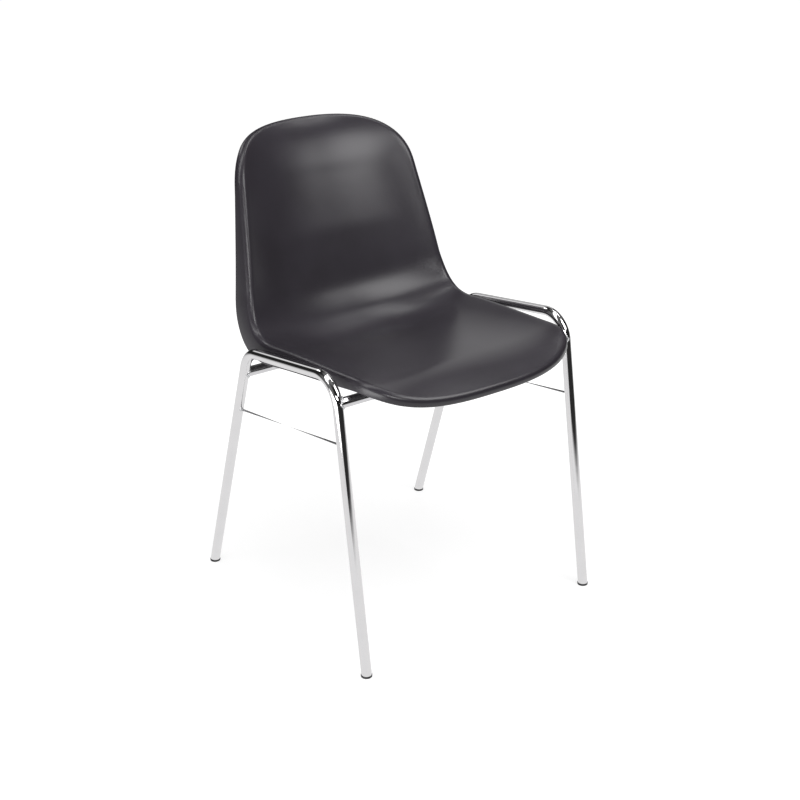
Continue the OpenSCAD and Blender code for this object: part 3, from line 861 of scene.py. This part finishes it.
def cope(name, turn, radius):
    """Distance from the middle at which a cross tube of this radius meets the leg's surface."""
    leaning = turn + leg_lean(name)
    aside = radius * np.cos(leaning) - axis_shift(name, radius * np.sin(leaning))
    depth = np.sqrt(np.maximum((tube_d / 2) ** 2 - aside ** 2, least_depth ** 2))
    return leg_x(bars[name].z + radius * np.sin(turn)) - depth


print("front cross tube reaches", cope("front", np.array([0.0]), bar_d / 2).round(4), "m from the middle")

# %% Cross tubes and welds
bar_wall = 0.0015
bar_rings = 21
bead_r = 0.0022
bead_rings = 168
bead_sides = 12
ripples = 26
ripple_share = 0.09


def cross_tube_part(name):
    bar = bars[name]
    turn = np.linspace(0, 2 * np.pi, round_sides, endpoint=False)
    rows = []
    for radius, start in ((bar_d / 2, -1), (bar_d / 2 - bar_wall, 1)):
        reach = cope(name, turn, radius)
        for share in np.linspace(start, -start, bar_rings):
            rows.append(np.stack([share * reach, bar.y + radius * np.cos(turn),
                                  bar.z + radius * np.sin(turn)], axis=-1))
    return skin_rows(np.array(rows), closed=True)


def weld_part(name, side):
    """Rippled bead along the line where the cross tube meets the leg."""
    bar = bars[name]
    around = np.linspace(0, 2 * np.pi, bead_rings, endpoint=False)
    rows = []
    for turn in around:
        ripple = 1 + ripple_share * abs(math.sin(ripples * turn / 2)) - ripple_share
        section = np.linspace(0, 2 * np.pi, bead_sides, endpoint=False)
        reach = bar_d / 2 + bead_r * ripple * np.cos(section)
        x = cope(name, np.array([turn]), bar_d / 2) + bead_r * ripple * np.sin(section)
        rows.append(np.stack([side * x, bar.y + reach * math.cos(turn),
                              bar.z + reach * math.sin(turn)], axis=-1))
    return skin_rows(np.array(rows), closed=True)


for name in bar_names:
    make_piece(name + "_cross_tube", [cross_tube_part(name)], bar_chrome, [name + "_crossbar"])
    make_piece(name + "_tube_welds", [weld_part(name, side) for side in side_signs.values()],
               weld_chrome, [name + "_crossbar_welds"])

# %% [markdown]
# ## The side rods
# A thin rod runs between the legs on each side, parallel to the rail. It keeps stacked chairs from
# hooking into each other. Its ends are butted to the legs with a small weld all round, which swells
# from the rod to the tube in a hollow curve. A cylinder and a cone would do from afar. Rings whose
# points start from the leg's surface meet it all round.

# %% Ends of the rods
rod_drops = {"left": 0.114, "right": 0.1485}
rod_sides = 24


def rod_end(n, drop):
    """Where the rod's axis meets the axis of leg n."""
    rail = corners[1] - corners[0]
    leg = corners[n] - feet[n]
    start = corners[0] - np.array([0, drop]) - feet[n]
    return feet[n] + leg * (rail[0] * start[1] - rail[1] * start[0]) / (rail[0] * leg[1] - rail[1] * leg[0])


def on_leg(side, n, drop, radius, run):
    """Ring round the rod, each point run from the leg's surface along the rod."""
    a = rod_end(n, drop)
    way = direction(a, rod_end(1 - n, drop))
    across_way = np.array([-way[1], way[0]])
    leg = direction(feet[n], corners[n])
    leg_side = np.array([-leg[1], leg[0]])
    facing = float(way @ leg_side)
    turn = np.linspace(0, 2 * np.pi, rod_sides, endpoint=False)
    aside = radius * np.cos(turn)
    lift = radius * np.sin(turn)
    surface = np.sqrt(np.maximum((tube_d / 2) ** 2 - aside ** 2, 0)) * (1 if facing > 0 else -1)
    along_rod = (surface - lift * float(across_way @ leg_side)) / facing + run
    y = a[0] + along_rod * way[0] + lift * across_way[0]
    height = a[1] + along_rod * way[1] + lift * across_way[1]
    return from_plane(side, y, height, aside)


for name, drop in rod_drops.items():
    rod_way = rod_end(1, drop) - rod_end(0, drop)
    print(name, "rod", round(float(np.linalg.norm(rod_way)), 4), "m from leg axis to leg axis")

# %% Rods and their welds
rod_d = 0.004
rod_inset = 0.0003
rod_rings = 13
rod_weld_r = 0.004
rod_weld_run = 0.003
rod_weld_rings = 7
weld_lip = 0.0003
bead_inset = 0.0006


def rod_part(side, drop):
    front = on_leg(side, 0, drop, rod_d / 2, -rod_inset)
    rear = on_leg(side, 1, drop, rod_d / 2, -rod_inset)
    rear = np.roll(rear[::-1], rod_sides // 2 + 1, axis=0)
    rows = [front + (rear - front) * share for share in np.linspace(0, 1, rod_rings)]
    return skin_rows(np.array(rows), closed=False)


def rod_weld_part(side, n, drop):
    least_r = rod_d / 2 + weld_lip
    rows = [on_leg(side, n, drop, rod_weld_r, -bead_inset)]
    for angle in np.linspace(0, math.pi / 2, rod_weld_rings):
        radius = least_r + (rod_weld_r - least_r) * (1 - math.sin(angle))
        rows.append(on_leg(side, n, drop, radius, rod_weld_run * (1 - math.cos(angle))))
    rows.append(on_leg(side, n, drop, rod_d / 2 - weld_lip, rod_weld_run + weld_lip))
    return skin_rows(np.array(rows), closed=False)


for name, side in side_signs.items():
    drop = rod_drops[name]
    make_piece(name + "_rod", [rod_part(side, drop)], wire_chrome, [name + "_side_rod"])
    make_piece(name + "_rod_beads", [rod_weld_part(side, n, drop) for n in (0, 1)],
               weld_chrome, [name + "_rod_welds"])

# %% [markdown]
# ## Glides
# A black nylon plug closes each tube end. Its head is a flat disc, a little wider than the tube and
# rounded at both edges, and its stem follows the leg's slant up the bore. The head is a profile set
# out as rings, as if turned on a lathe, so its rounded edges catch the light as moulded ones do.

# %% Glides
glide_r = 0.00974
glide_edge = 0.0008
glide_edge_rings = 5
sole_share = 0.5
glide_fit = 0.00015
stem_r = tube_d / 2 - tube_wall - glide_fit
stem_length = 0.022


def glide_part(side, n):
    name = bar_names[n]
    foot = centre(name + "_right_glide")
    turn = np.linspace(0, 2 * np.pi, round_sides, endpoint=False)
    angles = np.linspace(0, math.pi / 2, glide_edge_rings)
    profile = [(glide_r * sole_share, 0.0)]
    for angle in angles:
        profile.append((glide_r - glide_edge * (1 - math.sin(angle)), glide_edge * (1 - math.cos(angle))))
    for angle in angles:
        profile.append((glide_r - glide_edge / 2 * (1 - math.cos(angle)),
                        glide_height - glide_edge / 2 * (1 - math.sin(angle))))
    rows = [np.stack([side * (foot.x + r * np.cos(turn)), foot.y + r * np.sin(turn), z + 0 * turn], axis=-1)
            for r, z in profile]
    for z in (glide_height, glide_height + stem_length):
        y = leg_at(name, z)[0]
        rows.append(np.stack([side * (leg_x(z) + stem_r * np.cos(turn)), y + stem_r * np.sin(turn),
                              z + 0 * turn], axis=-1))
    return skin_rows(np.array(rows), closed=False)


for n in (0, 1):
    for name, side in side_signs.items():
        make_piece(f"glide_{bar_names[n]}_{name}", [glide_part(side, n)], glide_nylon,
                   [f"{bar_names[n]}_{name}_glide"])

# %% [markdown]
# ## Screws, washers and inserts
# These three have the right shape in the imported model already, with true sockets and bores, so they
# stay and only get their finish.

# %% Fittings that stay
for name, material, slot in (("threaded_inserts", insert_brass, "insert"),
                             ("fixing_screws", screw_zinc, "screw"),
                             ("screw_washers", washer_nylon, "washer")):
    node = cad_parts[name]
    for holder in node.material_slots:
        holder.material = material
    print(name, len(node.material_slots), "material slots dressed")

# %% [markdown]
# ## What each kind of ray finds
# The studio has to be white for the camera and still light the chair as a dark room with a few
# softboxes would. The Light Path node tells the rays apart, so that floor and room can give each kind
# an answer of its own.

# %% An answer for each kind of ray
def by_ray(tree, camera, glossy, rest):
    """Joins what the camera, mirror-like rays and all other rays are to find."""
    ray = add(tree, "ShaderNodeLightPath", {}).outputs
    others = add(tree, "ShaderNodeMixShader", {
        0: ray["Is Glossy Ray"], 1: rest.outputs[0], 2: glossy.outputs[0]})
    return add(tree, "ShaderNodeMixShader", {
        0: ray["Is Camera Ray"], 1: others.outputs[0], 2: camera.outputs[0]})


print("rays told apart: camera, glossy and the rest")

# %% [markdown]
# ## Floor
# The picture is a white product shot with a faint shadow. The floor is white paper: a little of its
# brightness comes from the lamps, which is the share that a shadow can take away, and the rest is
# its own glow. Further out the lamps fade and the glow takes over, so paper and backdrop are one
# even white, and a strength of 1 is white. Mirror-like rays find the paper bright near the chair and
# dark far out, and all others find it a plain grey, so that it hardly lights the chair.

# %% Sheets of the studio
def stage_sheet(name, points, faces, material):
    """A sheet of the studio that isn't part of the chair."""
    mesh = bpy.data.meshes.new(name)
    mesh.from_pydata(points, [], faces)
    mesh.materials.append(material)
    sheet = bpy.data.objects.new(name, mesh)
    bpy.context.scene.collection.objects.link(sheet)
    print(name, "lies in the studio with", len(points), "points")
    return sheet


# %% Floor
floor_half = 30.0
near_glow = 0.75
even_from = 0.35
even_to = 1.3
mirror_near = 0.95
mirror_far = 0.30
mirror_from = 0.8
mirror_to = 6.0
floor_material, tree, place = new_material("white_paper_floor")
away = add(tree, "ShaderNodeVectorMath", {0: place}, operation="LENGTH").outputs["Value"]
paint = add(tree, "ShaderNodeBsdfDiffuse", {"Color": linear("#b0b0b0")})
strength = add(tree, "ShaderNodeMapRange", {
    "Value": away, "From Min": even_from, "From Max": even_to, "To Min": near_glow, "To Max": 1.0},
    interpolation_type="SMOOTHSTEP").outputs["Result"]
glow = add(tree, "ShaderNodeEmission", {"Color": linear("#ffffff"), "Strength": strength})
seen = add(tree, "ShaderNodeAddShader", {0: paint.outputs[0], 1: glow.outputs[0]})
fading = add(tree, "ShaderNodeMapRange", {
    "Value": away, "From Min": mirror_from, "From Max": mirror_to, "To Min": mirror_near,
    "To Max": mirror_far}, interpolation_type="SMOOTHSTEP").outputs["Result"]
mirrored = add(tree, "ShaderNodeEmission", {"Color": linear("#ffffff"), "Strength": fading})
bounce = add(tree, "ShaderNodeBsdfDiffuse", {"Color": linear("#a0a0a0")})
found = by_ray(tree, camera=seen, glossy=mirrored, rest=bounce)
add(tree, "ShaderNodeOutputMaterial", {"Surface": found.outputs[0]})
stage_sheet("floor", [(-floor_half, -floor_half, 0), (floor_half, -floor_half, 0),
                      (floor_half, floor_half, 0), (-floor_half, floor_half, 0)],
            [(0, 1, 2, 3)], floor_material)
print("floor", 2 * floor_half, "m wide")

# %% [markdown]
# ## Room
# The room is dark, as a studio is. What a glossy ray finds in it is the upper part of a white backdrop
# behind the chair, above a dark gap at the horizon, and a little light from the ceiling and both
# walls. Each of these lies in a direction, and how well a ray points that way says how much of it the
# ray sees. The camera finds plain white.

# %% Room
room_glow = 0.05
dark_glow = 0.02
backdrop_glow = 0.90
ceiling_glow = 0.20
wall_glow = 0.18
world = bpy.data.worlds.new("studio")
bpy.context.scene.world = world
world.use_nodes = True
world.node_tree.nodes.clear()
tree = world.node_tree
ray = add(tree, "ShaderNodeTexCoord", {}).outputs["Generated"]


def towards(azimuth, elevation, edge, full, strength):
    """Rises from 0 to strength as a ray turns from edge degrees off this direction to full degrees."""
    along_way = add(tree, "ShaderNodeVectorMath", {0: ray, 1: way_to(azimuth, elevation)},
                    operation="DOT_PRODUCT").outputs["Value"]
    return add(tree, "ShaderNodeMapRange", {
        "Value": along_way, "From Min": math.cos(math.radians(edge)),
        "From Max": math.cos(math.radians(full)), "To Min": 0.0, "To Max": strength},
        interpolation_type="SMOOTHSTEP").outputs["Result"]


lit = towards(azimuth=0, elevation=32, edge=15, full=7, strength=backdrop_glow)
ceiling = towards(azimuth=0, elevation=90, edge=38, full=15, strength=ceiling_glow)
left_wall = towards(azimuth=-90, elevation=20, edge=50, full=20, strength=wall_glow)
right_wall = towards(azimuth=72, elevation=46, edge=34, full=10, strength=wall_glow)
for light in (ceiling, left_wall, right_wall):
    lit = add(tree, "ShaderNodeMath", {0: lit, 1: light}, operation="ADD").outputs[0]
lit = add(tree, "ShaderNodeMath", {0: lit, 1: dark_glow}, operation="MAXIMUM").outputs[0]
mirrored = add(tree, "ShaderNodeBackground", {"Color": linear("#ffffff"), "Strength": lit})
dim = add(tree, "ShaderNodeBackground", {"Color": linear("#ffffff"), "Strength": room_glow})
white = add(tree, "ShaderNodeBackground", {"Color": linear("#ffffff"), "Strength": 1.0})
found = by_ray(tree, camera=white, glossy=mirrored, rest=dim)
add(tree, "ShaderNodeOutputWorld", {"Surface": found.outputs[0]})
print("room strength", room_glow, "backdrop", backdrop_glow)

# %% [markdown]
# ## Lamps
# Plain soft light from eight softboxes. The key stands close in front of the chair's right shoulder
# and makes the broad soft patch on the back. One at the left front lights the near edges, a strip
# overhead draws the bright line in the bend, a tall one hangs over the left side, and a weak panel
# behind at the right is what the seat reflects. A small one behind edges the rims with light, a low
# one at the left shows the flange at the seat's corner, and the last hangs straight above, hidden
# from mirror-like rays, and makes the soft shadow under the seat. Each is placed by the direction in
# which it stands.

# %% Softboxes
lamp_aim = Vector((0, 0, 0.5))


def softbox(name, azimuth, elevation, distance, width, height, radiance):
    """A softbox that faces the chair; a radiance of 1 would be seen as plain white."""
    way = way_to(azimuth, elevation)
    data = bpy.data.lights.new(name, "AREA")
    data.shape = "RECTANGLE"
    data.size = width
    data.size_y = height
    data.energy = radiance * math.pi * width * height
    lamp = bpy.data.objects.new(name, data)
    lamp.location = lamp_aim + distance * way
    lamp.rotation_euler = (-way).to_track_quat("-Z", "Y").to_euler()
    lamp.visible_camera = False
    bpy.context.scene.collection.objects.link(lamp)
    print(name, round(data.energy, 1), "W")
    return lamp


softbox("key_softbox", 155.5, 41, distance=1.22, width=0.66, height=0.68, radiance=5.1)
softbox("left_front_softbox", 203, 21, distance=1.84, width=0.75, height=0.32, radiance=10.0)
softbox("overhead_strip", 83.4, 63.7, distance=2.35, width=1.3, height=0.18, radiance=8.0)
softbox("left_softbox", -87.3, 64, distance=1.5, width=0.42, height=1.98, radiance=3.5)
softbox("back_panel", 46, 20, distance=1.57, width=0.9, height=1.0, radiance=0.55)
softbox("rim_softbox", -15, 45, distance=2.2, width=0.5, height=0.5, radiance=4.0)
softbox("low_left_softbox", -106, -4, distance=1.4, width=1.3, height=0.5, radiance=5.0)
top_softbox = softbox("top_softbox", 0, 90, distance=2.0, width=1.0, height=1.0, radiance=4.0)
top_softbox.visible_glossy = False

# %% [markdown]
# ## Dark card
# A mirror needs something dark to reflect, or it looks like white paint. In front of the chair and to
# its right the studio's floor beyond the white paper is that dark thing. A card stands for it, a hair
# above the paper, which only glossy rays see and which fades in at its near edge.

# %% Card
near_fade = 1.0
far_fade = 1.9
card_lift = 0.001
card_reach = 25.0
card_from = math.radians(108)
card_to = math.radians(216)
card_points = 24
card_material, tree, place = new_material("dark_card")
away = add(tree, "ShaderNodeVectorMath", {0: place}, operation="LENGTH").outputs["Value"]
cover = add(tree, "ShaderNodeMapRange", {"Value": away, "From Min": near_fade, "From Max": far_fade},
            interpolation_type="SMOOTHSTEP").outputs["Result"]
dark = add(tree, "ShaderNodeEmission", {"Color": linear("#303030"), "Strength": 1.0})
clear = add(tree, "ShaderNodeBsdfTransparent", {})
found = add(tree, "ShaderNodeMixShader", {0: cover, 1: clear.outputs[0], 2: dark.outputs[0]})
add(tree, "ShaderNodeOutputMaterial", {"Surface": found.outputs[0]})

fan = [(card_reach * math.sin(a), card_reach * math.cos(a), card_lift)
       for a in np.linspace(card_from, card_to, card_points)]
floor_card = stage_sheet("floor_card", [(0, 0, card_lift)] + fan, [tuple(range(card_points + 1))],
                         card_material)
for kind in ("camera", "diffuse", "shadow", "transmission", "volume_scatter"):
    setattr(floor_card, "visible_" + kind, False)
print("dark card from", near_fade, "m outwards")
